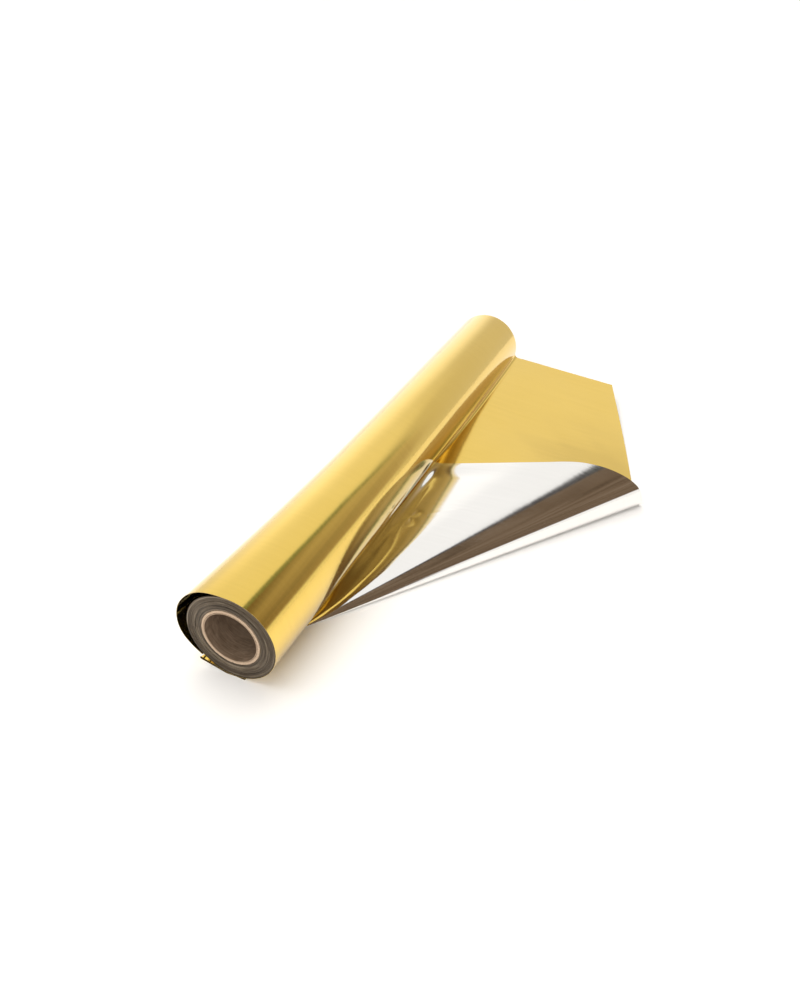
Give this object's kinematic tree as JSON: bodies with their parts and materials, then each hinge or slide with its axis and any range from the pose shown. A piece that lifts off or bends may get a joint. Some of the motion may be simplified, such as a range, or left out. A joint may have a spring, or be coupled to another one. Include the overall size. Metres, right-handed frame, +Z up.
{
  "type": "roll of sign film",
  "caption": "Roll of mirror-gold film on a paper core, its loose end laid out flat with the near corner turned over to show the silver back.",
  "frame": {"origin": "on the floor under the middle of the whole part's box, roll and laid-out sheet together", "axes": "+Z up; the roll's axis runs along +Y, with the end that has the loose lap at -Y; the laid-out sheet lies on the +X side of the roll"},
  "size_m": [0.4934, 1.001, 0.1345],
  "materials": {
    "kraft_core": "matt kraft board",
    "kraft_liner": "matt kraft paper",
    "wound_film": "edges of wound metallised film, grey-brown",
    "gold_film": "metallised film, mirror gold",
    "silver_back": "metallised film, mirror silver"
  },
  "bodies": {
    "web": {"outer_lap": "gold_film", "free_sheet": "gold_film", "turned_corner": "silver_back"},
    "roll": {"core_inner_ply": "kraft_liner", "core_outer_plies": "kraft_core", "film_pack": "wound_film"}
  },
  "joints": [
    {"name": "roll_spin", "type": "hinge", "parent": "web", "child": "roll", "pos_m": [-0.16624, 0.00048, 0.0675], "axis": [0, 1, 0], "continuous": true}
  ]
}
